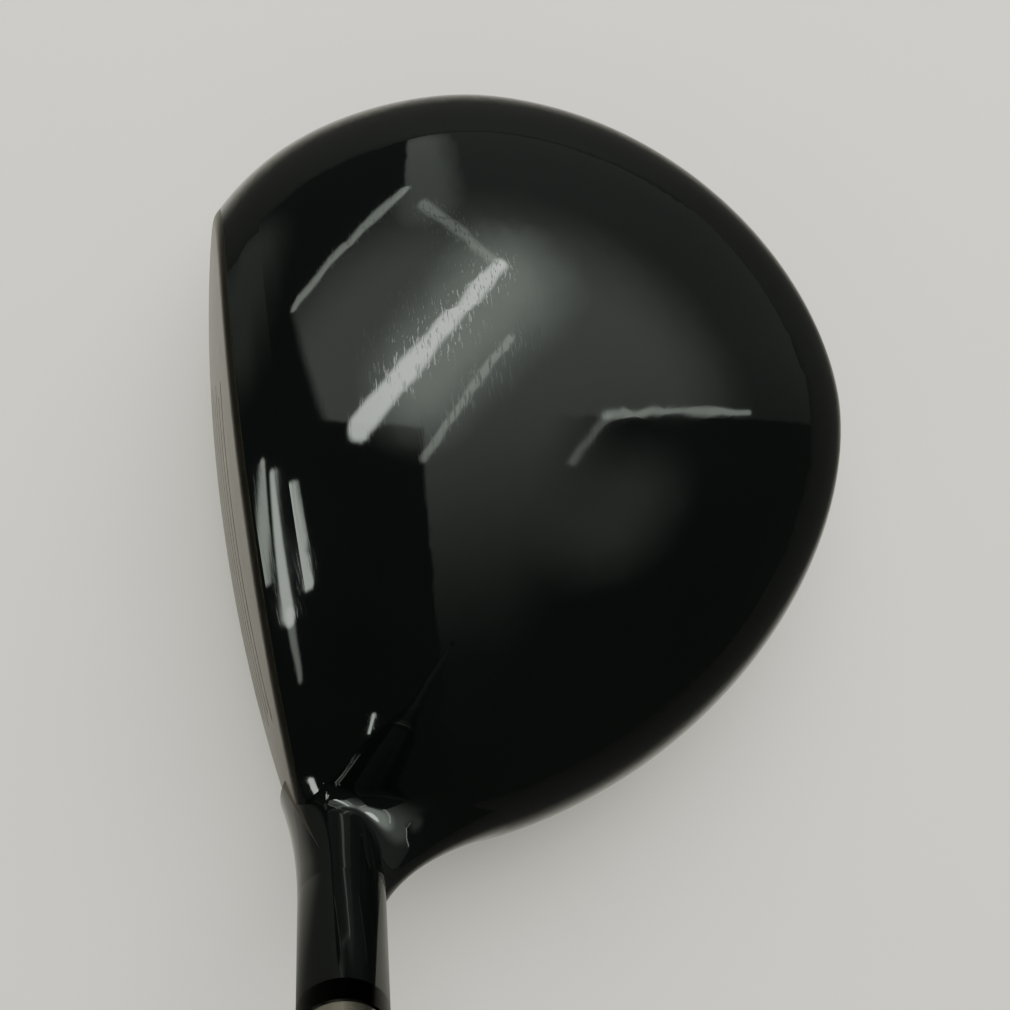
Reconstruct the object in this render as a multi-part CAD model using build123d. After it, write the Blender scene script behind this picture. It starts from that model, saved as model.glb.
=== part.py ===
from build123d import *
import math
import os

os.makedirs("parts", exist_ok=True)

# A right-handed golf driver at address, in millimetres. The origin is where the sole touches the
# ground. -X looks at the target, +Y runs from heel to toe and +Z is up.

# ---------------------------------------------------------------- head, outer shape
FRONT_REACH = 39.0  # sole contact to the leading edge of the face
BACK_REACH = 75.5  # sole contact to the back of the head
TOE_REACH = 66.0
HEEL_REACH = 65.5
CROWN_HEIGHT = 62.0
SKIRT_FRONT = 26.0  # height of the widest line at the face
SKIRT_BACK = 32.0  # and at the back
TAIL_SIDE = 2.8  # how far the rearmost point lies towards the toe
TOE_STATION = 11.7  # where the head is longest towards the toe
HEEL_STATION = -4.0  # and towards the heel
CROWN_STATION = 6.0  # where the crown is highest
NOSE = 5.3  # how far the toe's outline would run past the leading edge, were the face not cut
HEEL_NOSE = 10.6  # the same at the heel, and then for the crown and the sole
ARCH_NOSE = 21.2
CROWN_FULLNESS = 1.9  # power of the arch across the crown, 2 being an ellipse
CROWN_FALL = 1.75  # power of the crown's line behind its highest point
CROWN_RISE = 2.0  # and before it
SOLE_FALL = 1.8  # the same for the sole
SOLE_RISE = 2.2
TAIL_FULLNESS = 1.82  # the same for the outline behind, then at the toe and at the heel
TOE_FULLNESS = 2.3
HEEL_FULLNESS = 3.0
SOLE_FULLNESS = 1.85
SOLE_FLAT = 0.3  # depth ground off the sole for the club to stand on
FRONT_SPARE = 3.2  # how far the head is drawn past its leading edge before the face is cut
TAIL_CAP = 0.05  # the last section stops this far from the rearmost point
LOFT_START = 32.4  # the sections are spaced as equal turns of a wheel, from here to there
LOFT_END = 176.4

# ---------------------------------------------------------------- face and walls
LOFT = 12.0
FACE_RADIUS = 305.0  # bulge and roll
FACE_CENTRE_HEIGHT = 30.0
LEADING_EDGE_HEIGHT = 6.0
FACE_SIDE = -7.0  # how far the face's centre lies towards the heel
FACE_THICKNESS = 2.6
FACE_EDGE = 3.5  # round between the face and the rest of the head
PLATE_TOE = 42.0
PLATE_HEEL = 37.0
PLATE_HALF_HEIGHT = 18.0
PLATE_FULLNESS = 2.6
SCORE_COUNT = 7
SCORE_PITCH = 4.2
SCORE_WIDTH = 0.7
SCORE_DEPTH = 0.4
SCORE_LENGTH = 60.0
SCORE_SIDE = -2.0
SCORE_STAGGER = 5.0  # how much shorter every other line is
WALL = 1.0
CROWN_WALL = 0.6
CROWN_MARGIN = 7.0  # seam of the crown shell, in from the head's outline
CROWN_FRONT_MARGIN = 20.0  # the same, behind the leading edge
HOSEL_MARGIN = 24.0  # the same, round the shaft's axis
LEDGE_WIDTH = 4.0  # shelf of the casting that the crown shell is bonded to
LEDGE_THICKNESS = 0.8

# ---------------------------------------------------------------- hosel, sleeve and screw
LIE = 58.0
HOSEL_BEHIND_FACE = 18.0  # leading edge to the shaft's axis
HOSEL_GROUND_SIDE = -33.3  # where the shaft's axis would meet the ground
HOSEL_TOP = 88.5  # along the axis from the ground
HOSEL_WALL = 2.1  # outside the head, round the bore
TUBE_WALL = 1.2  # and inside the head
HOSEL_SPREAD = 3.2  # how much wider the neck is where it has run into the head
FLARE_START = 64.0  # along the axis, where the neck starts to widen
FLARE_END = 38.0
NECK_ROOT = 18.0
BORE_DEPTH = 44.5
WEB_THICKNESS = 4.0  # floor of the bore, which the screw's washer bears on
SLEEVE_DEPTH = 40.5
SLEEVE_FIT = 0.08
SLEEVE_WALL = 0.75
RING_HEIGHT = 4.3
RIM_HEIGHT = 2.7
RIM_STEP = 0.3  # the rim is this much smaller than the hosel
KEY_COUNT = 12
KEY_HEIGHT = 4.0
KEY_DEPTH = 0.9
KEY_WIDTH = 1.3
KEY_FIT = 0.1
SCREW_RADIUS = 2.5
SCREW_GRIP = 9.0  # thread engaged in the sleeve
SCREW_FIT = 0.05
SCREW_HEAD_STEP = 1.9  # how far its head stands out from the shank
SCREW_HEAD_HEIGHT = 5.0
DRIVE_RADIUS = 1.9
DRIVE_DEPTH = 3.0
WEIGHT_DRIVE_RADIUS = 2.5
WEIGHT_DRIVE_DEPTH = 2.1
DRIVE_POINTS = 6
DRIVE_CORE = 0.75  # share of a socket's radius where its lobes are centred
WASHER_GAP = 0.4  # between the washer and its pocket
WASHER_THICKNESS = 1.0
HEAD_PLAY = 0.05  # under the screw's head when it is done up
RETAINER_WIDTH = 1.7
RETAINER_THICKNESS = 1.2
RETAINER_GAP = 0.3
HOLE_FIT = 0.3

# ---------------------------------------------------------------- shaft, ferrule and grip
CLUB_LENGTH = 1149.0  # along the axis, ground to the top of the grip
TIP_RADIUS = 4.25
TIP_PARALLEL = 75.0
BUTT_RADIUS = 7.6
BUTT_PARALLEL = 300.0
SHAFT_WALL = 1.0
SHAFT_DEPTH = 32.0  # shaft inside the sleeve
BOND = 0.12
PLUG_LENGTH = 8.0
FERRULE_LENGTH = 24.0
FERRULE_FOOT_STEP = 0.2  # the ferrule's foot is this much smaller than the rim
FERRULE_TOP_WALL = 0.7
FERRULE_FIT = 0.05
BAND_HEIGHT = 1.6
BAND_DEPTH = 0.6
BAND_OFFSET = 3.0
GRIP_LENGTH = 268.0
GRIP_MOUTH_WALL = 1.55
GRIP_BUTT_WALL = 4.75
TAPE = 0.25
TAPE_SHORT = 3.0  # the tape stops this far inside the grip's mouth
CAP_THICKNESS = 4.0
CAP_STEP = 0.8  # how far the cap stands out from the grip
CAP_EDGE = 1.5
VENT_RADIUS = 1.6

# ---------------------------------------------------------------- weight, badge and pad
PORT_STATION = 55.0
PORT_SIDE = 1.0
PORT_TILT = 22.0  # the port's axis leans back from straight down
PORT_WALL = 2.0
PORT_FLOOR = 2.0
PORT_SINK = 1.4  # the weight's face below the sole
POST_LENGTH = 7.0
POST_WALL = 1.95
POST_END = 1.0  # thickness left at the blind end of the thread
WEIGHT_RADIUS = 9.0
WEIGHT_HEIGHT = 5.5
WEIGHT_EDGE = 0.6
WEIGHT_FIT = 0.08
WEIGHT_SCREW_RADIUS = 3.0
WEIGHT_SCREW_GRIP = 7.0
WEIGHT_SCREW_HEAD_STEP = 1.6
WEIGHT_SCREW_HEAD_HEIGHT = 3.0
SEAL_STEP = 1.0  # the seal is this much smaller than the slug
SEAL_WIDTH = 1.2
SEAL_THICKNESS = 0.8
BADGE_LENGTH = 34.0
BADGE_WIDTH = 12.0
BADGE_STATION = 26.0
BADGE_SIDE = 1.0
BADGE_CORNER = 4.0
BADGE_THICKNESS = 0.5
BADGE_FIT = 0.1
PAD_RADIUS = 9.0
PAD_HEIGHT = 2.0
PAD_STATION = 24.0
PAD_SIDE = 29.0

# What follows from those sizes. Distances along the shaft's axis are from the ground.
HOSEL_STATION = HOSEL_BEHIND_FACE - FRONT_REACH
TIP_BORE_RADIUS = TIP_RADIUS + BOND
SLEEVE_RADIUS = TIP_BORE_RADIUS + SLEEVE_WALL
BORE_RADIUS = SLEEVE_RADIUS + SLEEVE_FIT
POCKET_RADIUS = BORE_RADIUS
HOSEL_RADIUS = BORE_RADIUS + HOSEL_WALL
TUBE_RADIUS = BORE_RADIUS + TUBE_WALL
FLARE_RADIUS = HOSEL_RADIUS + HOSEL_SPREAD
RIM_RADIUS = HOSEL_RADIUS - RIM_STEP
SCREW_HEAD_RADIUS = SCREW_RADIUS + SCREW_HEAD_STEP
WASHER_RADIUS = POCKET_RADIUS - WASHER_GAP
RETAINER_RADIUS = SCREW_RADIUS + RETAINER_WIDTH
FERRULE_FOOT_RADIUS = RIM_RADIUS - FERRULE_FOOT_STEP
FERRULE_BORE_RADIUS = TIP_RADIUS + FERRULE_FIT
FERRULE_TOP_RADIUS = FERRULE_BORE_RADIUS + FERRULE_TOP_WALL
GRIP_BORE_RADIUS = BUTT_RADIUS + TAPE
CAP_RADIUS = GRIP_BORE_RADIUS + GRIP_BUTT_WALL + CAP_STEP
WEIGHT_SCREW_HEAD_RADIUS = WEIGHT_SCREW_RADIUS + WEIGHT_SCREW_HEAD_STEP
SEAL_RADIUS = WEIGHT_RADIUS - SEAL_STEP
POST_RADIUS = WEIGHT_SCREW_RADIUS + POST_WALL
BORE_FLOOR = HOSEL_TOP - BORE_DEPTH
WEB_BOTTOM = BORE_FLOOR - WEB_THICKNESS
WASHER_BOTTOM = WEB_BOTTOM - WASHER_THICKNESS
SLEEVE_BOTTOM = HOSEL_TOP - SLEEVE_DEPTH
SCREW_END = SLEEVE_BOTTOM + SCREW_GRIP
RING_TOP = HOSEL_TOP + RING_HEIGHT
RIM_TOP = RING_TOP + RIM_HEIGHT
SHAFT_BOTTOM = RIM_TOP - SHAFT_DEPTH
SHAFT_TOP = CLUB_LENGTH - CAP_THICKNESS
GRIP_MOUTH = CLUB_LENGTH - GRIP_LENGTH
FAR = 200.0  # past the head in any direction

ABOVE = (Align.CENTER, Align.CENTER, Align.MIN)


def save(name, shape):
    """Write one piece to a file of its own name."""
    shape.label = name
    export_step(shape, f"parts/{name}.step")


def tube(outer_radius, inner_radius, height):
    return Cylinder(outer_radius, height, align=ABOVE) - Cylinder(inner_radius, height, align=ABOVE)


def star(radius, depth):
    """A six-lobed driver socket."""
    core = radius * DRIVE_CORE
    socket = Cylinder(core, depth, align=ABOVE)
    for lobe in range(DRIVE_POINTS):
        round_lobe = Pos(core, 0, 0) * Cylinder(radius - core, depth, align=ABOVE)
        socket += Rot(0, 0, 360 * lobe / DRIVE_POINTS) * round_lobe
    return socket


# ---------------------------------------------------------------- the head as a smooth pebble
def bow(distance, reach, power):
    """Height of a rounded arch of unit rise, at a distance from its middle."""
    share = min(abs(distance) / reach, 1.0)
    return (1 - share**power) ** (1 / power)


def toe_side(x, inset):
    behind = x > TOE_STATION
    reach = BACK_REACH - TOE_STATION if behind else FRONT_REACH + NOSE + TOE_STATION
    rise = TOE_REACH - TAIL_SIDE - inset
    power = TAIL_FULLNESS if behind else TOE_FULLNESS
    return TAIL_SIDE + rise * bow(x - TOE_STATION, reach - inset, power)


def heel_side(x, inset):
    behind = x > HEEL_STATION
    reach = BACK_REACH - HEEL_STATION if behind else FRONT_REACH + HEEL_NOSE + HEEL_STATION
    rise = HEEL_REACH + TAIL_SIDE - inset
    power = TAIL_FULLNESS if behind else HEEL_FULLNESS
    return TAIL_SIDE - rise * bow(x - HEEL_STATION, reach - inset, power)


def skirt_height(x):
    share = (x + FRONT_REACH) / (BACK_REACH + FRONT_REACH)
    return SKIRT_FRONT + (SKIRT_BACK - SKIRT_FRONT) * share


def crown_height(x, inset):
    behind = x > CROWN_STATION
    reach = BACK_REACH - CROWN_STATION if behind else FRONT_REACH + ARCH_NOSE
    rise = CROWN_HEIGHT - skirt_height(x) - inset
    power = CROWN_FALL if behind else CROWN_RISE
    return skirt_height(x) + rise * bow(x - CROWN_STATION, reach - inset, power)


def sole_height(x, inset):
    behind = x > 0
    reach = BACK_REACH if behind else FRONT_REACH + ARCH_NOSE
    drop = skirt_height(x) + SOLE_FLAT - inset
    return skirt_height(x) - drop * bow(x, reach - inset, SOLE_FALL if behind else SOLE_RISE)


def section(x, inset, spans=8):
    """One closed cross-section: heel to toe over the widest line, then back under it."""
    heel = heel_side(x, inset)
    toe = toe_side(x, inset)
    points = []
    for span in range(2 * spans):
        across = -math.cos(math.pi * span / spans)
        over = span <= spans
        height = crown_height(x, inset) if over else sole_height(x, inset)
        rise = (height - skirt_height(x)) * bow(across, 1.0, CROWN_FULLNESS if over else SOLE_FULLNESS)
        points.append(Vector(x, (heel + toe + across * (toe - heel)) / 2, skirt_height(x) + rise))
    return Wire(Edge.make_spline(points, periodic=True))


def pebble(inset=0.0, stations=13):
    """The head without its face, neck and flat, as a loft of cross-sections pulled in by inset."""
    first = math.radians(LOFT_START)
    last = math.radians(LOFT_END)
    front = inset - FRONT_REACH - FRONT_SPARE
    back = BACK_REACH - inset - TAIL_CAP
    wires = []
    for station in range(stations):
        turn = first + (last - first) * station / (stations - 1)
        share = (math.cos(first) - math.cos(turn)) / (math.cos(first) - math.cos(last))
        x = front + (back - front) * share
        wires.append(section(x, inset))
    return Solid.make_loft(wires)


face_normal = Vector(-math.cos(math.radians(LOFT)), 0, math.sin(math.radians(LOFT)))
face_centre = Vector(
    (FACE_CENTRE_HEIGHT - LEADING_EDGE_HEIGHT) * math.tan(math.radians(LOFT)) - FRONT_REACH,
    FACE_SIDE,
    FACE_CENTRE_HEIGHT,
)
ball_centre = face_centre - face_normal * FACE_RADIUS
face_plane = Plane(origin=face_centre, x_dir=(0, 1, 0), z_dir=face_normal)


def face_ball(inset=0.0):
    """Everything behind the bulged and rolled face, pulled in by inset."""
    return Pos(*ball_centre) * Sphere(FACE_RADIUS - inset)


def loop(points):
    """A flat closed outline on the ground, through points on its smooth side."""
    return make_face(Edge.make_spline([Vector(*p) for p in points], periodic=True))


def pillar(outline, low, high):
    """An upright prism on an outline, between two heights."""
    return Pos(0, 0, low) * extrude(outline, high - low)


def crown_outline(shelf=0.0):
    """Where the crown shell ends, seen from above, pulled in by the width of a shelf."""
    margin = CROWN_MARGIN + shelf
    depth = BACK_REACH + FRONT_REACH - margin
    points = []
    spans = 12
    for span in range(spans):
        forward = (1 - math.cos(math.pi * span / spans)) / 2
        x = BACK_REACH - margin - depth * forward
        points.append((x, toe_side(x, margin)))
    for span in range(spans):
        forward = (1 + math.cos(math.pi * span / spans)) / 2
        x = BACK_REACH - margin - depth * forward
        points.append((x, heel_side(x, margin)))
    whole = loop(points)
    front = CROWN_FRONT_MARGIN - FRONT_REACH + shelf
    behind = Pos(front, 0) * Rectangle(FAR, 2 * FAR, align=(Align.MIN, Align.CENTER))
    exit_side = HOSEL_GROUND_SIDE - FLARE_END * math.cos(math.radians(LIE))
    neck = Pos(HOSEL_STATION, exit_side) * Circle(HOSEL_MARGIN + shelf)
    return (whole & behind) - neck


# ---------------------------------------------------------------- the shaft's line
shaft_direction = Vector(0, -math.cos(math.radians(LIE)), math.sin(math.radians(LIE)))
shaft_line = Plane(
    origin=(HOSEL_STATION, HOSEL_GROUND_SIDE, 0), x_dir=(1, 0, 0), z_dir=shaft_direction
)


def on_shaft(shape, start=0.0):
    """Stand a shape on the shaft's axis, at a distance from the ground."""
    return shaft_line * Pos(0, 0, start) * shape


def rod(radius, start, end):
    return on_shaft(Cylinder(radius, end - start, align=ABOVE), start)


def turned(points):
    """A solid of revolution on the shaft's axis from (radius, distance) corners."""
    profile = make_face(Polyline([(r, 0, t) for r, t in points], close=True))
    return shaft_line * revolve(profile, Axis.Z)


def keys(reach, width, height, foot):
    """The ring of teeth, or of notches for them, below the rim of the hosel."""
    teeth = Part()
    for key in range(KEY_COUNT):
        tooth = Pos(TIP_BORE_RADIUS, 0, foot) * Box(
            reach - TIP_BORE_RADIUS, width, height, align=(Align.MIN, Align.CENTER, Align.MIN)
        )
        teeth += Rot(0, 0, 360 * key / KEY_COUNT) * tooth
    return shaft_line * teeth


def neck():
    """The hosel outside the head: a straight barrel that widens as it runs in."""
    barrel = Line((HOSEL_RADIUS, 0, HOSEL_TOP), (HOSEL_RADIUS, 0, FLARE_START))
    flare = TangentArc(
        [(HOSEL_RADIUS, 0, FLARE_START), (FLARE_RADIUS, 0, FLARE_END)], tangent=(0, 0, -1)
    )
    foot = Polyline(
        (FLARE_RADIUS, 0, FLARE_END), (POCKET_RADIUS, 0, NECK_ROOT), (0, 0, NECK_ROOT), (0, 0, HOSEL_TOP)
    )
    lid = Line((0, 0, HOSEL_TOP), (HOSEL_RADIUS, 0, HOSEL_TOP))
    profile = make_face(Wire([barrel.edge(), flare.edge(), *foot.edges(), lid.edge()]))
    return shaft_line * revolve(profile, Axis.Z)


# ---------------------------------------------------------------- the weight's port
def sole_point(x, y):
    """The point of the sole under a place, from the same arch as the loft."""
    heel = heel_side(x, 0)
    toe = toe_side(x, 0)
    across = (2 * y - heel - toe) / (toe - heel)
    drop = (skirt_height(x) - sole_height(x, 0)) * bow(across, 1.0, SOLE_FULLNESS)
    return Vector(x, y, skirt_height(x) - drop)


port_direction = Vector(math.sin(math.radians(PORT_TILT)), 0, -math.cos(math.radians(PORT_TILT)))
port_plane = Plane(
    origin=sole_point(PORT_STATION, PORT_SIDE), x_dir=(0, 1, 0), z_dir=port_direction
)
WEIGHT_SEAT = -PORT_SINK - WEIGHT_HEIGHT
PORT_SEAT = WEIGHT_SEAT - SEAL_THICKNESS
PORT_BOTTOM = PORT_SEAT - PORT_FLOOR
PORT_RADIUS = WEIGHT_RADIUS + WEIGHT_FIT + PORT_WALL


def in_port(shape, height=0.0):
    """Stand a shape on the port's axis, at a height from the sole."""
    return port_plane * Pos(0, 0, height) * shape


# ---------------------------------------------------------------- pieces of the head
def make_head():
    outside = pebble()
    inside = pebble(WALL)
    under_crown = pebble(CROWN_WALL)
    ledge_bottom = pebble(CROWN_WALL + LEDGE_THICKNESS)
    sharp = outside & face_ball()
    face_rim = [edge for edge in sharp.edges() if edge.length > TOE_REACH and edge.center().X < 0]
    faced = fillet(face_rim, FACE_EDGE)
    ground = Pos(0, 0, -FAR) * Box(2 * FAR, 2 * FAR, FAR, align=ABOVE)
    crown_cut = pillar(crown_outline(), SKIRT_BACK, FAR)
    crown_hole = pillar(crown_outline(LEDGE_WIDTH), SKIRT_BACK, FAR)

    plate_points = []
    spans = 16
    for span in range(spans):
        turn = 2 * math.pi * span / spans
        reach = PLATE_TOE if math.cos(turn) > 0 else PLATE_HEEL
        y = math.copysign(abs(math.cos(turn)) ** (2 / PLATE_FULLNESS), math.cos(turn)) * reach
        rise = abs(math.sin(turn)) ** (2 / PLATE_FULLNESS) * PLATE_HALF_HEIGHT
        plate_points.append((y, math.copysign(rise, math.sin(turn))))
    plate_block = face_plane * Pos(0, 0, -FAR / 10) * extrude(loop(plate_points), FAR / 5)

    badge = Pos(BADGE_STATION, BADGE_SIDE) * RectangleRounded(BADGE_LENGTH, BADGE_WIDTH, BADGE_CORNER)
    recess = Pos(BADGE_STATION, BADGE_SIDE) * RectangleRounded(
        BADGE_LENGTH + 2 * BADGE_FIT, BADGE_WIDTH + 2 * BADGE_FIT, BADGE_CORNER + BADGE_FIT
    )
    badge_skin = outside - pebble(BADGE_THICKNESS)

    casting = faced + neck()
    casting -= inside & face_ball(FACE_THICKNESS)
    casting += rod(TUBE_RADIUS, 0, FLARE_START) & faced
    casting -= crown_cut & outside
    casting += (under_crown - ledge_bottom) & (crown_cut - crown_hole)
    casting -= plate_block
    casting -= pillar(recess, -1, SKIRT_FRONT) & badge_skin
    casting -= in_port(Cylinder(PORT_RADIUS, 2 * POST_LENGTH, align=ABOVE), PORT_BOTTOM)
    casting -= rod(BORE_RADIUS, BORE_FLOOR, FAR)
    notch_reach = BORE_RADIUS + KEY_DEPTH + KEY_FIT
    casting -= keys(notch_reach, KEY_WIDTH + 2 * KEY_FIT, FAR, HOSEL_TOP - KEY_HEIGHT)
    casting -= rod(SCREW_RADIUS + HOLE_FIT, WEB_BOTTOM, BORE_FLOOR)
    casting -= rod(POCKET_RADIUS, -FAR, WEB_BOTTOM)
    casting -= ground

    plate = (faced - face_ball(FACE_THICKNESS)) & plate_block
    groove_skin = face_ball(-1) - face_ball(SCORE_DEPTH)
    for line in range(SCORE_COUNT):
        rise = (line - (SCORE_COUNT - 1) / 2) * SCORE_PITCH
        length = SCORE_LENGTH - SCORE_STAGGER * (line % 2)
        groove = face_plane * Pos(SCORE_SIDE, rise, 0) * Box(length, SCORE_WIDTH, FAR / 5)
        plate -= groove_skin & groove

    crown = (outside - under_crown) & crown_cut
    badge_plate = (pillar(badge, -1, SKIRT_FRONT) & badge_skin) - ground
    pad_post = Pos(PAD_STATION, PAD_SIDE, 0) * Cylinder(PAD_RADIUS, SKIRT_FRONT, align=ABOVE)
    pad = (inside - pebble(WALL + PAD_HEIGHT)) & pad_post

    port = in_port(Cylinder(PORT_RADIUS, 2 * POST_LENGTH, align=ABOVE), PORT_BOTTOM) & outside
    port += in_port(Cylinder(POST_RADIUS, POST_LENGTH, align=ABOVE), PORT_BOTTOM - POST_LENGTH)
    port -= in_port(Cylinder(WEIGHT_RADIUS + WEIGHT_FIT, FAR, align=ABOVE), PORT_SEAT)
    thread = Cylinder(WEIGHT_SCREW_RADIUS + SCREW_FIT, FAR, align=ABOVE)
    port -= in_port(thread, PORT_BOTTOM - POST_LENGTH + POST_END)

    save("body_casting", casting)
    save("face_plate", plate)
    save("crown_shell", crown)
    save("sole_badge", badge_plate)
    save("hot_melt_pad", pad)
    save("rear_weight_port", port)


def make_weight():
    slug = Cylinder(WEIGHT_RADIUS, WEIGHT_HEIGHT, align=ABOVE)
    slug = chamfer(slug.edges().group_by(Axis.Z)[-1], WEIGHT_EDGE)
    head_seat = WEIGHT_HEIGHT - WEIGHT_SCREW_HEAD_HEIGHT
    slug -= Cylinder(WEIGHT_SCREW_RADIUS + HOLE_FIT, WEIGHT_HEIGHT, align=ABOVE)
    slug -= Pos(0, 0, head_seat) * Cylinder(
        WEIGHT_SCREW_HEAD_RADIUS + HOLE_FIT, WEIGHT_HEIGHT, align=ABOVE
    )
    shank = head_seat + SEAL_THICKNESS + WEIGHT_SCREW_GRIP
    screw_foot = -SEAL_THICKNESS - WEIGHT_SCREW_GRIP
    screw = Pos(0, 0, screw_foot) * Cylinder(WEIGHT_SCREW_RADIUS, shank, align=ABOVE)
    screw += Pos(0, 0, head_seat) * Cylinder(
        WEIGHT_SCREW_HEAD_RADIUS, WEIGHT_SCREW_HEAD_HEIGHT, align=ABOVE
    )
    screw -= Pos(0, 0, WEIGHT_HEIGHT - WEIGHT_DRIVE_DEPTH) * star(WEIGHT_DRIVE_RADIUS, WEIGHT_DRIVE_DEPTH)
    save("rear_weight", in_port(slug, WEIGHT_SEAT))
    save("rear_weight_screw", in_port(screw, WEIGHT_SEAT))
    seal = tube(SEAL_RADIUS, SEAL_RADIUS - SEAL_WIDTH, SEAL_THICKNESS)
    save("rear_weight_seal", in_port(seal, PORT_SEAT))


def make_hosel_screw():
    head_top = WASHER_BOTTOM - HEAD_PLAY
    screw = rod(SCREW_HEAD_RADIUS, WASHER_BOTTOM - SCREW_HEAD_HEIGHT, head_top)
    screw += rod(SCREW_RADIUS, head_top, SCREW_END)
    screw -= on_shaft(star(DRIVE_RADIUS, DRIVE_DEPTH), WASHER_BOTTOM - SCREW_HEAD_HEIGHT)
    washer = tube(WASHER_RADIUS, SCREW_RADIUS + HOLE_FIT, WASHER_THICKNESS)
    retainer = tube(RETAINER_RADIUS, SCREW_RADIUS, RETAINER_THICKNESS)
    save("hosel_screw", screw)
    save("hosel_screw_washer", on_shaft(washer, WASHER_BOTTOM))
    save("hosel_screw_retainer", on_shaft(retainer, BORE_FLOOR + RETAINER_GAP))


# ---------------------------------------------------------------- sleeve, shaft and grip
def make_sleeve():
    sleeve = rod(SLEEVE_RADIUS, SLEEVE_BOTTOM, RING_TOP) + rod(RIM_RADIUS, RING_TOP, RIM_TOP)
    key_foot = HOSEL_TOP - KEY_HEIGHT + KEY_FIT
    sleeve += keys(BORE_RADIUS + KEY_DEPTH, KEY_WIDTH, KEY_HEIGHT - KEY_FIT, key_foot)
    sleeve -= rod(TIP_BORE_RADIUS, SHAFT_BOTTOM, FAR)
    sleeve -= rod(SCREW_RADIUS + SCREW_FIT, 0, SHAFT_BOTTOM)
    save("shaft_sleeve", sleeve)
    save("sleeve_ring", on_shaft(tube(HOSEL_RADIUS, SLEEVE_RADIUS, RING_HEIGHT), HOSEL_TOP))


def make_ferrule():
    top = RIM_TOP + FERRULE_LENGTH
    hole = FERRULE_BORE_RADIUS
    ferrule = turned(
        [(hole, RIM_TOP), (FERRULE_FOOT_RADIUS, RIM_TOP), (FERRULE_TOP_RADIUS, top), (hole, top)]
    )
    foot = RIM_TOP + BAND_OFFSET
    band_block = on_shaft(tube(HOSEL_RADIUS, FERRULE_TOP_RADIUS + BAND_DEPTH, BAND_HEIGHT), foot)
    save("ferrule_band", ferrule & band_block)
    save("ferrule", ferrule - band_block)


def make_shaft():
    taper_start = SHAFT_BOTTOM + TIP_PARALLEL
    taper_end = SHAFT_TOP - BUTT_PARALLEL
    shaft = turned(
        [
            (TIP_RADIUS, SHAFT_BOTTOM),
            (TIP_RADIUS, taper_start),
            (BUTT_RADIUS, taper_end),
            (BUTT_RADIUS, SHAFT_TOP),
            (BUTT_RADIUS - SHAFT_WALL, SHAFT_TOP),
            (BUTT_RADIUS - SHAFT_WALL, taper_end),
            (TIP_RADIUS - SHAFT_WALL, taper_start),
            (TIP_RADIUS - SHAFT_WALL, SHAFT_BOTTOM),
        ]
    )
    bond = tube(TIP_BORE_RADIUS, TIP_RADIUS, SHAFT_DEPTH)
    save("shaft", shaft)
    save("shaft_bond", on_shaft(bond, SHAFT_BOTTOM))
    save("shaft_tip_plug", rod(TIP_RADIUS - SHAFT_WALL, SHAFT_BOTTOM, SHAFT_BOTTOM + PLUG_LENGTH))


def make_grip():
    bore = GRIP_BORE_RADIUS
    mouth = bore + GRIP_MOUTH_WALL
    butt = bore + GRIP_BUTT_WALL
    grip = turned([(bore, GRIP_MOUTH), (mouth, GRIP_MOUTH), (butt, SHAFT_TOP), (bore, SHAFT_TOP)])
    tape = tube(bore, BUTT_RADIUS, SHAFT_TOP - GRIP_MOUTH - TAPE_SHORT)
    cap = Cylinder(CAP_RADIUS, CAP_THICKNESS, align=ABOVE)
    cap = fillet(cap.edges().group_by(Axis.Z)[-1], CAP_EDGE)
    cap -= Cylinder(VENT_RADIUS, CAP_THICKNESS, align=ABOVE)
    save("grip", grip)
    save("grip_tape", on_shaft(tape, GRIP_MOUTH + TAPE_SHORT))
    save("grip_cap", on_shaft(cap, SHAFT_TOP))


make_head()
make_weight()
make_hosel_screw()
make_sleeve()
make_ferrule()
make_shaft()
make_grip()
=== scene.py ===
# %% Load the club
import math

import bmesh
import bpy
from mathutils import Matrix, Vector
from mathutils.bvhtree import BVHTree


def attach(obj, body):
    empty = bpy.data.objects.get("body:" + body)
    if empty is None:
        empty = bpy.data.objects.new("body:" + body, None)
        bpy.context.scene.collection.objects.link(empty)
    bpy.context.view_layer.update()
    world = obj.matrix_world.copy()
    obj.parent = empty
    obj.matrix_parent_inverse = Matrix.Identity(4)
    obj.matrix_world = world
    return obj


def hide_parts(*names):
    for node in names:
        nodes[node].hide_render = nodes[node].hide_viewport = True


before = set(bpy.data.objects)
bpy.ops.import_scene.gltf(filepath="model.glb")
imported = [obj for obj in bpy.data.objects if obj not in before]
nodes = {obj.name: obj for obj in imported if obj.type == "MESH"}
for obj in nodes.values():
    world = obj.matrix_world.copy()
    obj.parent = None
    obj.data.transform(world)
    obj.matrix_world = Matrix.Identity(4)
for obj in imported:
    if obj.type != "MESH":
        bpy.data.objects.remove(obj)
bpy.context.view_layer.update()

print(len(nodes), "pieces loaded")

# %% [markdown]
# A golf driver stands on the floor as a player sees it at address. The measured pieces are already
# here, and a millimetre is 0.001 of Blender's metres. Two things come first: the line of the shaft,
# which half of the club is turned about, and the sphere that the bulged face is a patch of. Both are
# used again and again, to place pieces and to lay patterns on them.

# %% Sizes that the finishes and the new pieces need
MM = 0.001
LIE = math.radians(58)
SHAFT_FOOT = Vector((-21, -33.3, 0)) * MM  # where the shaft's line meets the floor
SHAFT_AXIS = Vector((0, -math.cos(LIE), math.sin(LIE)))
SHAFT_SIDE = Vector((0, math.sin(LIE), math.cos(LIE)))

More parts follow.
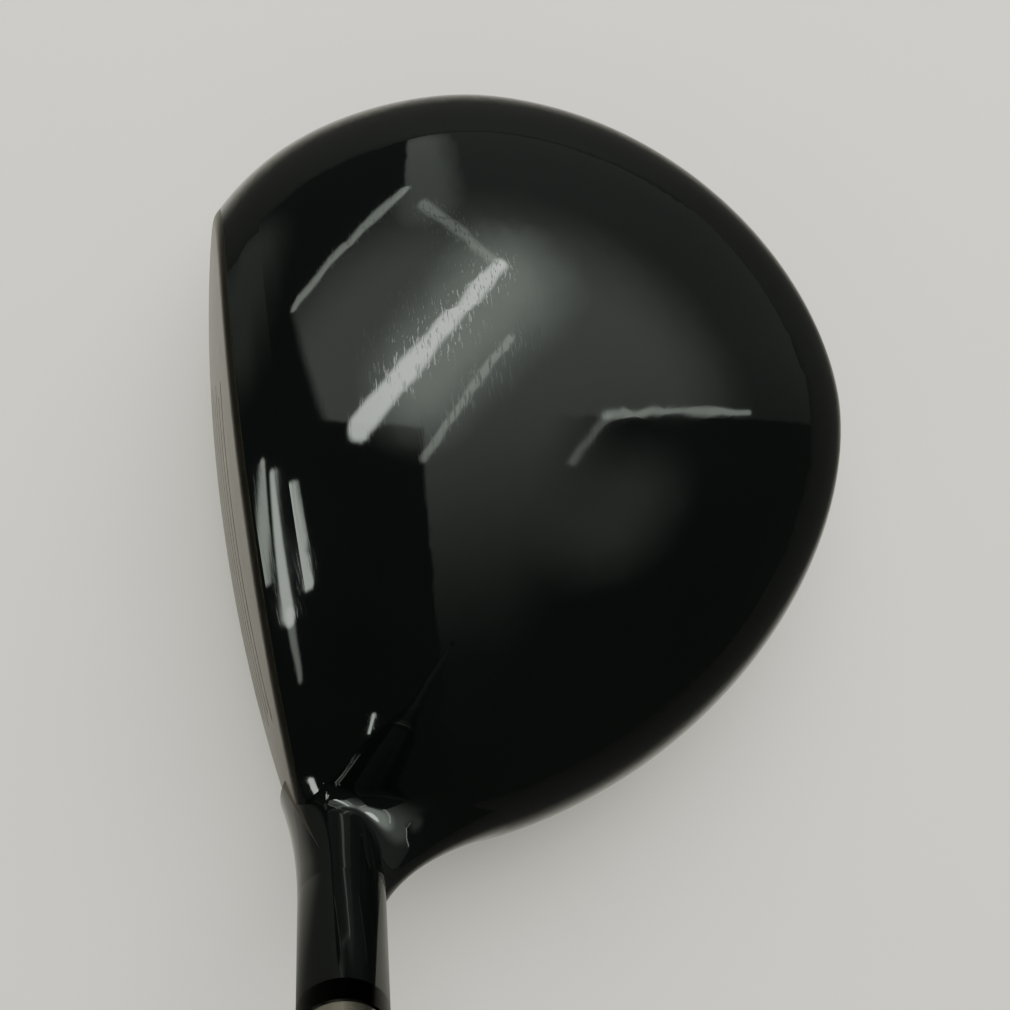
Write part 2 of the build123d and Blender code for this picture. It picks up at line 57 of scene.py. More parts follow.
LOFT = math.radians(12)
FACE_RADIUS = 305 * MM
FACE_NORMAL = Vector((-math.cos(LOFT), 0, math.sin(LOFT)))
FRONT_REACH, LEADING_EDGE_HEIGHT = 39, 6
FACE_SIDE, FACE_CENTRE_HEIGHT = -7, 30
lean_back = (FACE_CENTRE_HEIGHT - LEADING_EDGE_HEIGHT) * math.tan(LOFT)
FACE_CENTRE = Vector((lean_back - FRONT_REACH, FACE_SIDE, FACE_CENTRE_HEIGHT)) * MM
BALL_CENTRE = FACE_CENTRE - FACE_NORMAL * FACE_RADIUS
print("centre of the face's sphere", [round(c, 4) for c in BALL_CENTRE])

# %% [markdown]
# The camera looks straight down on the crown from a hand's reach above, turned a little, so that the
# club's open end runs out of the bottom of the frame.

# %% Camera
CAMERA_TURN = math.radians(-8.5)
camera_data = bpy.data.cameras.new("camera")
camera_data.lens = 70.49
camera_data.sensor_width = 36
camera_data.clip_start = 0.01
camera = bpy.data.objects.new("camera", camera_data)
bpy.context.scene.collection.objects.link(camera)
camera.location = Vector((15, -7, 378)) * MM
camera.rotation_euler = (0, 0, CAMERA_TURN)
bpy.context.scene.camera = camera

# %% [markdown]
# Nodes are added by one small function: it makes the node, sets its choices, then fills or links its
# inputs. Colours are picked as sRGB hex values and turned to the linear ones that a shader works in.

# %% Two helpers for every finish
def linear(hex_colour):
    channels = [int(hex_colour[i:i + 2], 16) / 255 for i in (1, 3, 5)]
    return [c / 12.92 if c <= 0.04045 else ((c + 0.055) / 1.055) ** 2.4 for c in channels] + [1.0]


def add(tree, kind, inputs, output=0, **choices):
    node = tree.nodes.new("ShaderNode" + kind)
    for name, value in choices.items():
        setattr(node, name, value)
    for key, value in inputs.items():
        if isinstance(value, bpy.types.NodeSocket):
            tree.links.new(value, node.inputs[key])
        else:
            node.inputs[key].default_value = value
    return node.outputs[output]


# %% [markdown]
# A finish is one Principled shader. Its colour, roughness and height may come from patterns. The
# height is real relief in metres, which a Bump node turns into shading.

# %% A finish, from its colour, roughness and relief
def finish(name, build, ior=1.5, metallic=0.0):
    material = bpy.data.materials.new(name)
    material.use_nodes = True
    tree = material.node_tree
    tree.nodes.clear()
    look = build(tree)
    relief = {"Height": look["height"], "Distance": 1.0, "Strength": 1.0}
    inputs = {
        "Base Color": look["colour"],
        "Roughness": look["roughness"],
        "Metallic": look.get("metal", metallic),
        "Normal": add(tree, "Bump", relief),
    }
    if "metal" not in look and not metallic:
        inputs["IOR"] = ior
    shader = add(tree, "BsdfPrincipled", inputs)
    target = tree.nodes.new("ShaderNodeOutputMaterial")
    tree.links.new(shader, target.inputs["Surface"])
    return material


def spread(tree, value, low, high):
    """Turns 0..1 into low..high."""
    return add(tree, "MapRange", {0: value, 3: low, 4: high}, interpolation_type="LINEAR")


def step(tree, value, start, end):
    """0 before start, 1 after end, or the other way round where start is the larger."""
    ends = {1: start, 2: end} if start < end else {1: end, 2: start, 3: 1.0, 4: 0.0}
    return add(tree, "MapRange", {0: value, **ends}, interpolation_type="SMOOTHSTEP")


def maths(tree, operation, first, second=0.5, third=0.5):
    return add(tree, "Math", {0: first, 1: second, 2: third}, operation=operation)


def place(tree):
    """Where a point is on the club, in metres."""
    return add(tree, "TexCoord", {}, output="Object")


def distance_from(tree, point):
    """How far a point on the club lies from a fixed one, in metres."""
    return add(
        tree, "VectorMath", {0: place(tree), 1: point}, output="Value", operation="DISTANCE"
    )


def grain(tree, size_mm, stretch=(1, 1, 1), detail=2.0):
    """Noise with features of a real size, drawn out along an axis by stretch."""
    scaled = add(tree, "Mapping", {"Vector": place(tree), "Scale": [1 / s for s in stretch]})
    return add(tree, "TexNoise", {"Vector": scaled, "Scale": 1 / (size_mm * MM), "Detail": detail})


def blend_colour(tree, share, low, high):
    """A colour between two, given as hex values or as sockets."""
    ends = [linear(c) if isinstance(c, str) else c for c in (low, high)]
    return add(tree, "Mix", {0: share, 6: ends[0], 7: ends[1]}, output=2, data_type="RGBA")


# %% [markdown]
# **Satin titanium.** The cast face is ground flat and then brushed from heel to toe with a belt, so
# fine scratches run along Y and the light smears across them. The pitch of real scratches is about
# 0.05 mm. They are drawn at 0.3 mm here, so that they still show at this distance. The face is a
# patch of a big sphere, so a point's distance from the sphere's centre tells how deep it lies.

# %% Brushed titanium, as sockets that two finishes share
def brushed(tree):
    scratches = grain(tree, 0.3, stretch=(1, 60, 1), detail=3.0)
    clouds = grain(tree, 9)
    tone = maths(tree, "MULTIPLY_ADD", scratches, 0.55, maths(tree, "MULTIPLY", clouds, 0.45))
    return {
        "colour": blend_colour(tree, tone, "#413e36", "#605c54"),
        "roughness": spread(tree, scratches, 0.30, 0.46),
        "height": maths(tree, "MULTIPLY", scratches, 0.012 * MM),
    }


def from_ball_centre(tree):
    """Distance from the centre of the face's sphere: FACE_RADIUS on the face itself."""
    return distance_from(tree, BALL_CENTRE)


# %% [markdown]
# **The striking face** is that titanium with black paint wiped into its score lines. A line's floor
# lies under the face's sphere, so its depth says where the paint stays.

# %% Face with painted score lines
PAINT_TOP, PAINT_FULL = 0.10 * MM, 0.22 * MM  # depths under the face


def face_look(tree):
    look = brushed(tree)
    depth_ends = FACE_RADIUS - PAINT_TOP, FACE_RADIUS - PAINT_FULL
    painted = step(tree, from_ball_centre(tree), *depth_ends)
    look["colour"] = blend_colour(tree, painted, look["colour"], "#141413")
    look["metal"] = spread(tree, painted, 1.0, 0.0)
    look["roughness"] = maths(tree, "MAXIMUM", look["roughness"], maths(tree, "MULTIPLY", painted, 0.7))
    return look


nodes["face_plate"].data.materials[0] = finish("brushed titanium, scored face", face_look)

# %% [markdown]
# **Black enamel.** The head is sprayed gloss black, baked and buffed. Close up, the gloss carries
# faint orange peel about a millimetre across, polishing hairlines that run from heel to toe, and a
# few dull smudges from hands. The hairlines are strongest in one rubbed spot on the crown. The casting
# is masked along the face, where a bare edge shows that runs out towards the neck.

# %% Gloss enamel over the casting, masked at the face
RUBBED_SPOT = Vector((10, 26, 60)) * MM
RUBBED_INNER, RUBBED_OUTER = 8 * MM, 26 * MM
BARE_EDGE = 1.0 * MM
BARE_EDGE_GONE, BARE_EDGE_FULL = -60 * MM, -42 * MM  # places along Y
MASK_BLUR = 0.05 * MM


def enamel_look(tree):
    peel = grain(tree, 1.4, detail=1.0)
    waves = grain(tree, 14, detail=1.0)
    hairs = grain(tree, 0.35, stretch=(1, 90, 1), detail=2.0)
    hairs = step(tree, hairs, 0.56, 0.72)
    rubbed = step(tree, distance_from(tree, RUBBED_SPOT), RUBBED_OUTER, RUBBED_INNER)
    hairs = maths(tree, "MULTIPLY", hairs, spread(tree, rubbed, 0.12, 1.0))
    smudges = step(tree, grain(tree, 22, detail=3.0), 0.5, 0.75)
    gloss = maths(tree, "MULTIPLY_ADD", smudges, 0.035, 0.035)
    gloss = maths(tree, "MULTIPLY_ADD", hairs, 0.16, gloss)
    height = maths(tree, "MULTIPLY", waves, 0.004 * MM)
    height = maths(tree, "MULTIPLY_ADD", peel, 0.0007 * MM, height)
    height = maths(tree, "MULTIPLY_ADD", hairs, -0.003 * MM, height)

    metal = brushed(tree)
    off_face = maths(tree, "SUBTRACT", from_ball_centre(tree), FACE_RADIUS)
    off_face = maths(tree, "ABSOLUTE", off_face)
    across = add(tree, "SeparateXYZ", {0: place(tree)}, output=1)
    masked = maths(tree, "MULTIPLY", step(tree, across, BARE_EDGE_GONE, BARE_EDGE_FULL), BARE_EDGE)
    bare = step(tree, maths(tree, "SUBTRACT", off_face, masked), 0.0, -MASK_BLUR)
    paint = blend_colour(tree, grain(tree, 40), "#040505", "#0a0d0c")
    return {
        "colour": blend_colour(tree, bare, paint, metal["colour"]),
        "roughness": add(tree, "Mix", {0: bare, 2: gloss, 3: metal["roughness"]}),
        "height": add(tree, "Mix", {0: bare, 2: height, 3: metal["height"]}),
        "metal": bare,
    }


enamel = finish("baked gloss enamel on cast titanium", enamel_look)
for name in ("body_casting", "crown_shell"):
    nodes[name].data.materials[0] = enamel
print("the head is painted")

# %% [markdown]
# **Turned parts.** A lathe leaves a fine spiral of tool marks round an axis. Bands along that axis
# are the marks, 0.3 mm apart here so that they show. Aluminium is left bright, the adjusting ring is
# anodised black, and steel screws are plated.

# %% Turned metal about an axis
def along(tree, axis, foot):
    """Distance along an axis from its foot, in metres."""
    out = add(tree, "VectorMath", {0: place(tree), 1: foot}, operation="SUBTRACT")
    return add(tree, "VectorMath", {0: out, 1: axis}, output="Value", operation="DOT_PRODUCT")


MARK_PITCH, MARK_DEPTH = 0.3 * MM, 0.004 * MM


def turned(low, high, gloss, axis=SHAFT_AXIS, foot=SHAFT_FOOT):
    def look(tree):
        turns = maths(tree, "MULTIPLY", along(tree, axis, foot), 2 * math.pi / MARK_PITCH)
        marks = spread(tree, maths(tree, "SINE", turns), 0.5, 1.0)
        wear = grain(tree, 2.5, detail=4.0)
        return {
            "colour": blend_colour(tree, wear, low, high),
            "roughness": maths(tree, "MULTIPLY_ADD", wear, 0.14, gloss),
            "height": maths(tree, "MULTIPLY", marks, MARK_DEPTH),
        }
    return look


PORT_TILT = math.radians(22)
PORT_AXIS = Vector((math.sin(PORT_TILT), 0, -math.cos(PORT_TILT)))
PORT_FOOT = Vector((55, 1, 11.32)) * MM
bright = finish("turned aluminium, bright", turned("#b9b5a8", "#e4dfd0", 0.12), metallic=1.0)
anodised = finish("turned aluminium, anodised black", turned("#0b0b0c", "#161617", 0.16), metallic=1.0)
plated = finish("turned steel, zinc plated", turned("#8f9296", "#c6c8c9", 0.2), metallic=1.0)
plated_rear = finish(
    "turned steel, nickel plated",
    turned("#8d8b86", "#cfccc4", 0.18, axis=PORT_AXIS, foot=PORT_FOOT), metallic=1.0,
)
raw_titanium = finish(
    "machined titanium", turned("#77736b", "#a9a498", 0.3, axis=PORT_AXIS, foot=PORT_FOOT), metallic=1.0
)
for name, material in {
    "shaft_sleeve": bright, "ferrule_band": bright, "sleeve_ring": anodised,
    "hosel_screw": plated, "hosel_screw_washer": plated,
    "rear_weight": plated_rear, "rear_weight_screw": plated_rear, "rear_weight_port": raw_titanium,
}.items():
    nodes[name].data.materials[0] = material

# %% [markdown]
# **The sole badge** is a thin aluminium plate, brushed from front to back, anodised dark and left
# plain.

# %% Anodised badge
def badge_look(tree):
    lines = grain(tree, 0.3, stretch=(50, 1, 1), detail=3.0)
    return {
        "colour": blend_colour(tree, lines, "#3b3d40", "#5a5d60"),
        "roughness": spread(tree, lines, 0.28, 0.42),
        "height": maths(tree, "MULTIPLY", lines, 0.010 * MM),
    }


badge_metal = finish("brushed aluminium, anodised grey", badge_look, metallic=1.0)
nodes["sole_badge"].data.materials[0] = badge_metal

# %% [markdown]
# **Graphite.** The shaft is rolled from carbon cloth and sanded, then clear coated. Under the lacquer,
# bands of fibre wind round the tube both ways. A point's angle round the shaft added to its height
# makes a helix, and two helices of opposite hand make the bias plies. A whole number of starts keeps
# the pattern unbroken round the tube.

# %% Carbon plies round the shaft
PLY_STARTS = 9
PLY_PITCH = 2.6 * MM  # along the shaft, for one start


def graphite_look(tree):
    out = add(tree, "VectorMath", {0: place(tree), 1: SHAFT_FOOT}, operation="SUBTRACT")
    side = add(tree, "VectorMath", {0: out, 1: SHAFT_SIDE}, output="Value", operation="DOT_PRODUCT")
    front = add(tree, "SeparateXYZ", {0: out})
    angle = maths(tree, "ARCTAN2", side, front)
    height = along(tree, SHAFT_AXIS, SHAFT_FOOT)
    height = maths(tree, "MULTIPLY", height, 2 * math.pi / PLY_PITCH)
    plies = []
    for starts in (PLY_STARTS, -PLY_STARTS):
        plies.append(maths(tree, "SINE", maths(tree, "MULTIPLY_ADD", angle, starts, height)))
    weave = spread(tree, maths(tree, "MULTIPLY", plies[0], plies[1]), 0.35, 0.75)
    fibre = grain(tree, 0.25, stretch=(1, 12, 20), detail=3.0)
    tone = maths(tree, "MULTIPLY", weave, fibre)
    return {
        "colour": blend_colour(tree, tone, "#0c0d0f", "#3c4046"),
        "roughness": spread(tree, fibre, 0.09, 0.15),
        "height": maths(tree, "MULTIPLY", grain(tree, 3, detail=1.0), 0.003 * MM),
    }


nodes["shaft"].data.materials[0] = finish("lacquered carbon fibre", graphite_look)

# %% [markdown]
# **Plastics, rubber and glue.** What tells these apart is how broad the highlight is and how coarse
# the surface is: the ferrule is polished with solvent, the rubber is matt with a grain from its
# mould, the tape has crossing threads and hot glue is soft and a little lumpy.

# %% Moulded, cured and woven finishes
MOTTLE_MM = 6
THREAD_PITCH = 0.8 * MM


def moulded(low, high, gloss, grain_mm, depth_mm):
    def look(tree):
        fine = grain(tree, grain_mm, detail=3.0)
        return {
            "colour": blend_colour(tree, grain(tree, MOTTLE_MM, detail=3.0), low, high),
            "roughness": maths(tree, "MULTIPLY_ADD", fine, 0.12, gloss),
            "height": maths(tree, "MULTIPLY", fine, depth_mm * MM),
        }
    return look


def tape_look(tree):
    threads = []
    for axis in (SHAFT_AXIS, Vector((1, 0, 0))):
        turns = maths(tree, "MULTIPLY", along(tree, axis, SHAFT_FOOT), 2 * math.pi / THREAD_PITCH)
        threads.append(maths(tree, "SINE", turns))
    cloth = spread(tree, maths(tree, "MULTIPLY", threads[0], threads[1]), 0.5, 1.0)
    return {
        "colour": blend_colour(tree, cloth, "#b6ad95", "#d8d0ba"),
        "roughness": spread(tree, cloth, 0.7, 0.85),
        "height": maths(tree, "MULTIPLY", cloth, 0.03 * MM),
    }


# %% Their colours, gloss, grain and relief
rubber = finish("moulded natural rubber", moulded("#101112", "#1d1e20", 0.62, 0.5, 0.03), ior=1.52)
cellulose = moulded("#070708", "#0d0d0f", 0.1, 1.5, 0.001)
for name, material in {
    "ferrule": finish("turned cellulose plastic, polished", cellulose, ior=1.49),
    "grip_cap": rubber, "grip": rubber,
    "hosel_screw_retainer": rubber, "rear_weight_seal": rubber,
    "shaft_bond": finish("cured epoxy", moulded("#9c8550", "#c2ab74", 0.3, 1.0, 0.01), ior=1.55),
    "shaft_tip_plug": finish("cork plug", moulded("#8f6f48", "#b8946a", 0.75, 0.8, 0.05)),
    "hot_melt_pad": finish("hot melt glue", moulded("#b5a583", "#d2c5a4", 0.35, 3.0, 0.2)),
    "grip_tape": finish("paper-backed cloth tape", tape_look),
}.items():
    nodes[name].data.materials[0] = material
print(len({s.material.name for o in nodes.values() for s in o.material_slots}), "finishes in use")

# %% [markdown]
# **The neck's blend.** On the real head the hosel doesn't stand in a hard corner: it is ground and
# filled into the heel by a concave sweep, broad behind the neck and tight at its sides, and none at
# all towards the face. A grid is added and each of its columns is bent down from the neck to the
# head. To place a column, rays are shot down beside the neck, along the shaft: what they hit gives
# the corner between neck and head and the slope of the head there.

# %% The neck's own shape, and where the head lies beside it
NECK_RADIUS = 7.3
FLARE_START, FLARE_LENGTH, FLARE_SPREAD = 64, 26, 3.2
RAY_START = 95  # along the shaft, clear above the neck


def select_none():
    bpy.ops.object.select_all(action="DESELECT")


def search_tree(name):
    """A loaded piece's triangles, sorted so that rays and nearest points are found fast."""
    mesh = nodes[name].data
    corners = [vertex.co for vertex in mesh.vertices]
    return BVHTree.FromPolygons(corners, [tuple(face.vertices) for face in mesh.polygons])


casting_tree = search_tree("body_casting")
crown_tree = search_tree("crown_shell")


def neck_radius(distance):
    """The casting's neck: a straight barrel, then the arc of its flare."""
    drop = max(FLARE_START - distance, 0.0)
    arc = (FLARE_LENGTH ** 2 + FLARE_SPREAD ** 2) / (2 * FLARE_SPREAD)
    return NECK_RADIUS + arc - math.sqrt(arc ** 2 - drop ** 2)


def head_below(side, radius):
    """Distance up the shaft's line of the head's skin, straight below a place beside the neck."""
    origin = SHAFT_FOOT + SHAFT_AXIS * RAY_START * MM + side * radius * MM
    hits = [tree.ray_cast(origin, -SHAFT_AXIS)[3] for tree in (casting_tree, crown_tree)]
    hits = [length for length in hits if length is not None]
    return RAY_START - min(hits) / MM if hits else None


print("neck radius at its root", round(neck_radius(FLARE_START - FLARE_LENGTH), 2), "mm")

# %% A grid for the sweep
COLUMNS, ROWS = 96, 15
select_none()
bpy.ops.mesh.primitive_grid_add(x_subdivisions=COLUMNS, y_subdivisions=ROWS - 1, size=2)
neck = bpy.context.object
neck.name = "neck_blend"
grid = {}
for vertex in neck.data.vertices:
    column = round((vertex.co.x + 1) / 2 * COLUMNS)
    row = round((vertex.co.y + 1) / 2 * (ROWS - 1))
    grid[column, row] = vertex
print("grid", len(grid), "points")

# %% One column of the sweep: where it starts, the corner it bends round and where it lands
BLEND_ARC = math.radians(118)  # to either side of straight behind the neck
HEEL_SIDE = math.radians(28)
NEAR, FAR = 10.8, 13.8
NO_HEAD = 30.0  # taken for the head's place where a ray passes it by
STEEPEST, SHALLOWEST = -1.5, 0.5


def blend_column(turn):
    """Three points from the neck down to the head, on one side of the shaft."""
    side = Vector((1, 0, 0)) * math.cos(turn) + SHAFT_SIDE * math.sin(turn)
    behind = max(0.0, math.cos(turn + HEEL_SIDE)) ** 1.6
    # towards the face the sweep runs out, so there it sinks into the casting
    sunk = min(max((-math.cos(turn) - 0.15) / 0.35, 0.0), 1.0)
    proud = (0.03 - 0.9 * sunk) * MM
    reach = 3.5 + 20 * behind
    climb = 3.0 + 13 * behind

    near = head_below(side, NEAR)
    far = head_below(side, FAR)
    if near is None:
        near = NO_HEAD
    slope = 0.0 if far is None else max(STEEPEST, min(SHALLOWEST, (far - near) / (FAR - NEAR)))
    crease = near - slope * (NEAR - neck_radius(near))

    start = SHAFT_FOOT + SHAFT_AXIS * (crease + climb) * MM
    start += side * (neck_radius(crease + climb) * MM + proud)
    corner = SHAFT_FOOT + SHAFT_AXIS * crease * MM
    corner += side * (neck_radius(crease) - 2 * sunk) * MM
    aim = corner + side * reach * MM + SHAFT_AXIS * slope * reach * MM
    spot, normal, *_ = casting_tree.find_nearest(aim + SHAFT_AXIS * MM)
    landing = spot + normal * proud
    return start, corner.lerp((start + landing) / 2, 0.45 * behind), landing


# %% The grid, bent into the sweep
columns = [blend_column(BLEND_ARC * (2 * column / COLUMNS - 1)) for column in range(COLUMNS + 1)]
# neighbours are averaged, so that the foot of the sweep runs in one smooth line
for _ in range(3):
    before = [columns[0]] + columns[:-1]
    after = columns[1:] + [columns[-1]]
    columns = [
        [(left + here * 2 + right) / 4 for left, here, right in zip(*neighbours)]
        for neighbours in zip(before, columns, after)
    ]
for (column, row), vertex in grid.items():
    start, corner, landing = columns[column]
    share = 1 - row / (ROWS - 1)
    vertex.co = start * (1 - share) ** 2 + corner * 2 * share * (1 - share) + landing * share ** 2

bpy.ops.object.shade_smooth()
neck.data.materials.clear()
neck.data.materials.append(enamel)
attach(neck, "head")
middle = columns[COLUMNS // 2]
print("sweep straight behind, in mm:", [[round(c / MM, 1) for c in point] for point in middle])

# %% [markdown]
# **The grip** is one rubber sleeve, and its hold comes from small pits moulded between raised ribs.
# Its profile, from the mouth up the outside and back down the bore, is wrapped round the shaft, and
# every other patch of the outside is then inset and pushed in, as the mould's pins do.

# %% The grip's profile, as distance along the shaft and radius
GRIP_MOUTH, GRIP_TOP = 881.0, 1145.0
GRIP_BORE = 7.86
MOUTH_LIP, MOUTH_ROUND = 0.7, 0.8
MOUTH_RADIUS, GRIP_TAPER = 9.4, 3.2
AROUND, ALONG = 48, 132
profile = [(GRIP_MOUTH, GRIP_BORE + MOUTH_LIP)]
for rung in range(ALONG + 1):
    share = rung / ALONG
    rise = (GRIP_TOP - GRIP_MOUTH - MOUTH_ROUND) * share
    profile.append((GRIP_MOUTH + MOUTH_ROUND + rise, MOUTH_RADIUS + GRIP_TAPER * share))
profile += [(GRIP_TOP, GRIP_BORE), (GRIP_MOUTH, GRIP_BORE)]
LOOPS = len(profile)
print("grip profile", LOOPS, "points")

# %% The profile, wrapped round the shaft
select_none()
bpy.ops.mesh.primitive_grid_add(x_subdivisions=AROUND, y_subdivisions=LOOPS, size=2)
grip = bpy.context.object
grip.name = "grip_moulding"
for vertex in grip.data.vertices:
    turn = math.pi * (vertex.co.x + 1)
    distance, radius = profile[round((vertex.co.y + 1) / 2 * LOOPS) % LOOPS]
    side = Vector((1, 0, 0)) * math.cos(turn) + SHAFT_SIDE * math.sin(turn)
    vertex.co = SHAFT_FOOT + (SHAFT_AXIS * distance + side * radius) * MM

bpy.ops.object.mode_set(mode="EDIT")
bpy.ops.mesh.select_all(action="SELECT")
bpy.ops.mesh.remove_doubles(threshold=0.01 * MM)
bpy.ops.mesh.normals_make_consistent(inside=False)

# %% Pits in every other patch of the outside
PITS_START, PITS_END = 904, 1128
PLAIN_START, PLAIN_END = 1010, 1018
OUTSIDE = 9 * MM
RUNG = (GRIP_TOP - GRIP_MOUTH) / ALONG
bpy.ops.mesh.select_all(action="DESELECT")
rubber_mesh = bmesh.from_edit_mesh(grip.data)
for face in rubber_mesh.faces:
    centre = face.calc_center_median() - SHAFT_FOOT
    distance = centre.dot(SHAFT_AXIS) / MM
    out = centre - SHAFT_AXIS * centre.dot(SHAFT_AXIS)
    turn = math.atan2(out.dot(SHAFT_SIDE), out.x) / (2 * math.pi) * AROUND
    rung = int((distance - GRIP_MOUTH) / RUNG)
    band = PITS_START < distance < PITS_END and not PLAIN_START < distance < PLAIN_END
    face.select = band and out.length > OUTSIDE and (math.floor(turn) + rung) % 2 == 0
bmesh.update_edit_mesh(grip.data)
PIT_EDGE, PIT_DEPTH = 0.22 * MM, 0.4 * MM
bpy.ops.mesh.inset(thickness=PIT_EDGE, depth=-PIT_DEPTH, use_individual=True)
bpy.ops.object.mode_set(mode="OBJECT")
bpy.ops.object.shade_smooth_by_angle(angle=math.radians(35))
grip.data.materials.clear()
grip.data.materials.append(rubber)
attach(grip, "shaft_assembly")
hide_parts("grip")
print("grip", len(grip.data.polygons), "faces")

# %% [markdown]
# ** The floor and the light.** The floor is one pale sheet, but glossy rays see painted shade on it:
# a step away from the club it turns dark grey. The room is a world shader: a soft even light for what
# is matt, and for what is glossy a plain studio of broad pale panels and slim tubes on a dark ground,
# because gloss black shows nothing but what is round it. Each panel or tube is drawn on the sky by
# its place in degrees from straight up.

# %% Floor
select_none()
bpy.ops.mesh.primitive_plane_add(size=8, location=(0, 0, 0))
floor = bpy.context.object
floor.name = "floor"
# where the floor's painted shade in reflections starts, and where it is full
SHADE_PAINT_START, SHADE_PAINT_FULL = 55 * MM, 120 * MM


def laminate_look(tree):
    # painted shade, seen only in what is glossy: a step away from the club the floor's colour turns
    # dark grey, as if its light fell off there
    glossy = add(tree, "LightPath", {}, output="Is Glossy Ray")
    away = add(tree, "VectorMath", {0: place(tree)}, output="Value", operation="LENGTH")
    painted_shade = maths(tree, "MULTIPLY", step(tree, away, SHADE_PAINT_START, SHADE_PAINT_FULL), glossy)
    sheet = blend_colour(tree, grain(tree, 30, detail=4.0), "#d3d2ca", "#d6d5ce")
    return {
        # 444341 is the dark grey of the painted shade
        "colour": blend_colour(tree, painted_shade, sheet, "#444341"),
        "roughness": spread(tree, grain(tree, 3), 0.55, 0.7),
        "height": maths(tree, "MULTIPLY", grain(tree, 0.8), 0.004 * MM),
    }


floor.data.materials.append(finish("matt laminate", laminate_look))

# %% The sky's chart: degrees from straight up, along X and along Y
world = bpy.data.worlds.new("studio")
world.use_nodes = True
bpy.context.scene.world = world
sky = world.node_tree
sky.nodes.clear()
ray = add(sky, "TexCoord", {}, output="Generated")
parts = add(sky, "SeparateXYZ", {0: ray}, output=2)
polar = maths(sky, "MULTIPLY", maths(sky, "ARCCOSINE", parts), 180 / math.pi)
level = add(sky, "VectorMath", {0: ray, 1: (1, 1, 0)}, operation="MULTIPLY")
level = add(sky, "VectorMath", {0: level}, operation="NORMALIZE")
chart = add(sky, "VectorMath", {0: level, "Scale": polar}, operation="SCALE")


# %% Shapes on the chart
def tube_light(x0, y0, x1, y1, wide0, wide1, soft, strength):
    """A straight light between two places on the chart, with its half widths, all in degrees."""
    a, b = Vector((x0, y0, 0)), Vector((x1, y1, 0))
    out = add(sky, "VectorMath", {0: chart, 1: a}, operation="SUBTRACT")
    per_length = (b - a) / (b - a).length_squared
    run = add(
        sky, "VectorMath", {0: out, 1: per_length}, output="Value", operation="DOT_PRODUCT"
    )
    run = add(sky, "Clamp", {0: run})
    foot = add(sky, "VectorMath", {0: b - a, "Scale": run}, operation="SCALE")
    away = add(sky, "VectorMath", {0: out, 1: foot}, output="Value", operation="DISTANCE")
    width = maths(sky, "MULTIPLY_ADD", run, wide1 - wide0, wide0)
    past = maths(sky, "SUBTRACT", away, width)
    return maths(sky, "MULTIPLY", step(sky, past, soft, 0.0), strength)


def side_of(x0, y0, x1, y1, soft):
    """1 on the left of the line from the first place to the second, 0 on its right."""
    a, b = Vector((x0, y0, 0)), Vector((x1, y1, 0))
    normal = Vector((-(b - a).y, (b - a).x, 0)).normalized()
    out = add(sky, "VectorMath", {0: chart, 1: a}, operation="SUBTRACT")
    far = add(sky, "VectorMath", {0: out, 1: normal}, output="Value", operation="DOT_PRODUCT")
    return step(sky, far, -soft / 2, soft / 2)


def all_of(*shares):
    whole = shares[0]
    for share in shares[1:]:
        whole = maths(sky, "MULTIPLY", whole, share)
    return whole


def any_of(*shares):
    whole = shares[0]
    for share in shares[1:]:
        whole = maths(sky, "MAXIMUM", whole, share)
    return whole


# %% [markdown]
# The pale end of the room is one broad panel. Straight lines cut it off, as the edges of a ceiling and
# a doorway would. It dies away low down and towards the player, but stays lit along one corner.

# %% The pale panel
beyond = side_of(-6.6, 95, -6.6, 62, 1)
nearer = all_of(side_of(-6.6, 65, -37.4, 41.8, 1), side_of(-37.4, 41.8, -27.5, 16.5, 3))
above_left = any_of(side_of(-27, 16.5, -4.4, 9.9, 1), side_of(-4.4, 90, -4.4, -90, 1))
above_right = any_of(side_of(30.8, 4.4, 83, -6, 1), side_of(16, -30, 28, 4.4, 16))
height_on_chart = add(sky, "SeparateXYZ", {0: chart}, output=1)
fade = maths(sky, "MULTIPLY_ADD", step(sky, height_on_chart, -42, 26), 1.05, 0.02)
lit_corner = tube_light(-3, 84, -1, 58, 2, 2, 13, 0.95)
low_down = any_of(spread(sky, step(sky, polar, 42, 64), 1.0, 0.22), lit_corner)
pale = all_of(any_of(beyond, nearer), above_left, above_right, fade, low_down)

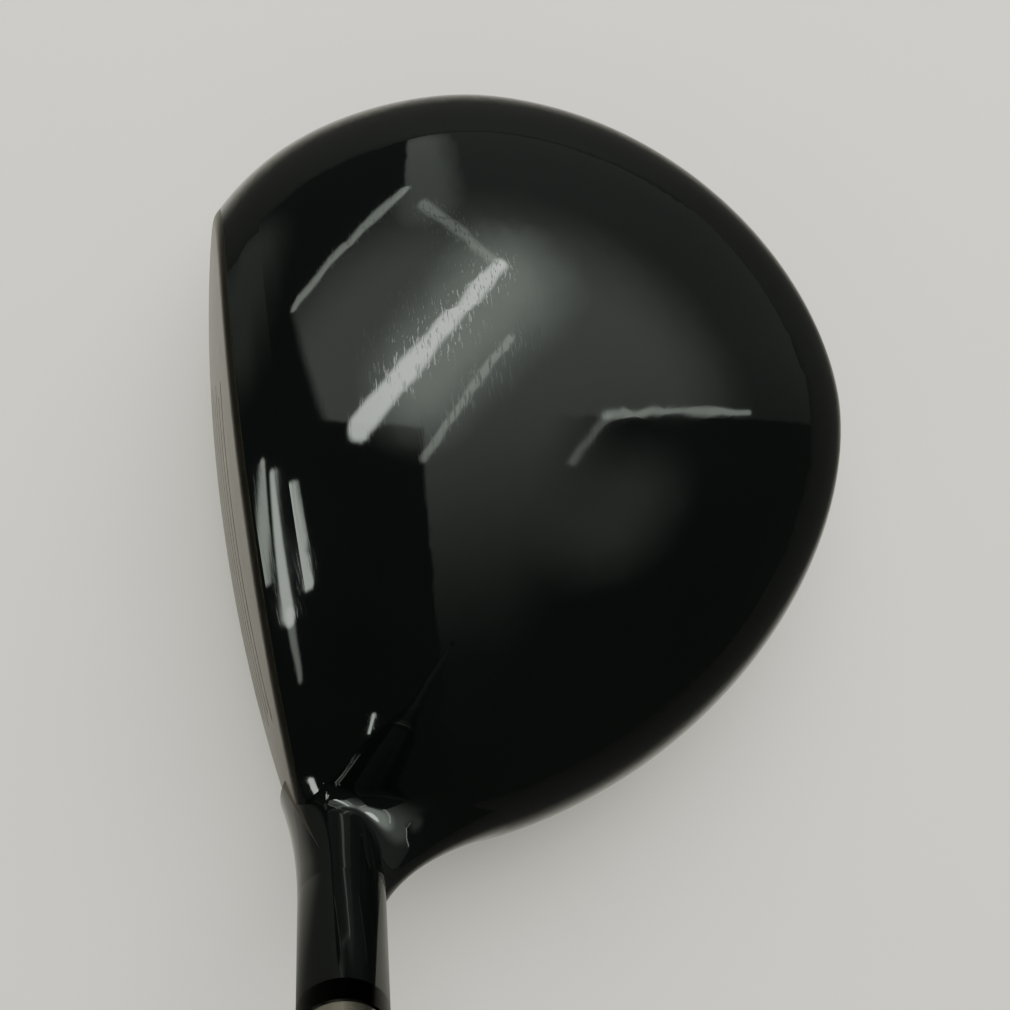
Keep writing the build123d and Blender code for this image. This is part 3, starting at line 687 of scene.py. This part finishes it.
# %% Slim lights and soft glows: two places, half width at each, softness and strength
lights = [
    tube_light(-3, 20, 14, 34, 1, 2, 17, 2.3),
    tube_light(15.4, 39.2, -18.7, 13.5, 0.5, 2.2, 1.6, 11.0),
    tube_light(15.8, 23.8, -4.4, 4, 0.5, 0.4, 0.8, 2.4),
    tube_light(-6.6, 65, -37, 42, 0.7, 0.4, 1.0, 3.0),
    tube_light(-2, 59, 15.4, 39, 0.6, 0.5, 1.2, 1.8),
    tube_light(31, 5.0, 60, 0.3, 0.4, 0.3, 0.8, 3.0),
    tube_light(30.8, 4.4, 24.6, -4, 0.3, 0.2, 0.8, 1.6),
    tube_light(30, -17, 32, -14, 1, 1, 16, 0.45),
    tube_light(-42, 10, -38.5, -20, 0.2, 1.6, 1.4, 8.0),
    tube_light(-36, 6, -33, -15, 0.1, 1.3, 1.2, 8.0),
    tube_light(-46, 13, -43.5, -12, 0.5, 0.3, 1.0, 5.0),
    tube_light(-38, -20, -37, -34, 0.9, 0.2, 1.4, 2.5),
    tube_light(-20, -47, -21.5, -52, 0.15, 0.1, 0.35, 9.0),
    tube_light(-40, -64, -39, -70, 0.9, 0.9, 1.2, 9.0),
    tube_light(-60, 40, -55, 60, 3, 3, 16, 0.35),
]

# %% Room
DARK_GROUND = 0.055
GREENISH = (0.97, 1.06, 0.96, 1)
EVEN_LIGHT = (0.79, 0.79, 0.75, 1)
panels = maths(sky, "ADD", pale, DARK_GROUND)
for light in lights:
    panels = maths(sky, "ADD", panels, light)
tinted = {0: 1.0, 6: GREENISH, 7: panels}
panels = add(sky, "Mix", tinted, output=2, data_type="RGBA", blend_type="MULTIPLY")
glossy = add(sky, "LightPath", {}, output="Is Glossy Ray")
room = add(sky, "Mix", {0: glossy, 6: EVEN_LIGHT, 7: panels}, output=2, data_type="RGBA")
background = add(sky, "Background", {0: room, 1: 1.0})
sky.links.new(background, sky.nodes.new("ShaderNodeOutputWorld").inputs["Surface"])
print(len(sky.nodes), "nodes in the room")

# %% [markdown]
# One round lamp above the toe gives the floor its fall of light and the club a soft shadow. It isn't
# seen in reflections, where the room's own lights stand.

# %% Key light
key_data = bpy.data.lights.new("key", "AREA")
key_data.shape = "DISK"
key_data.size = 1.2
key_data.energy = 21
key_data.color = linear("#fffdf6")[:3]
key = bpy.data.objects.new("key", key_data)
bpy.context.scene.collection.objects.link(key)
key.location = (0.3, 0.62, 0.8)
key.rotation_euler = (-key.location).to_track_quat("-Z", "Y").to_euler()
key.visible_glossy = False
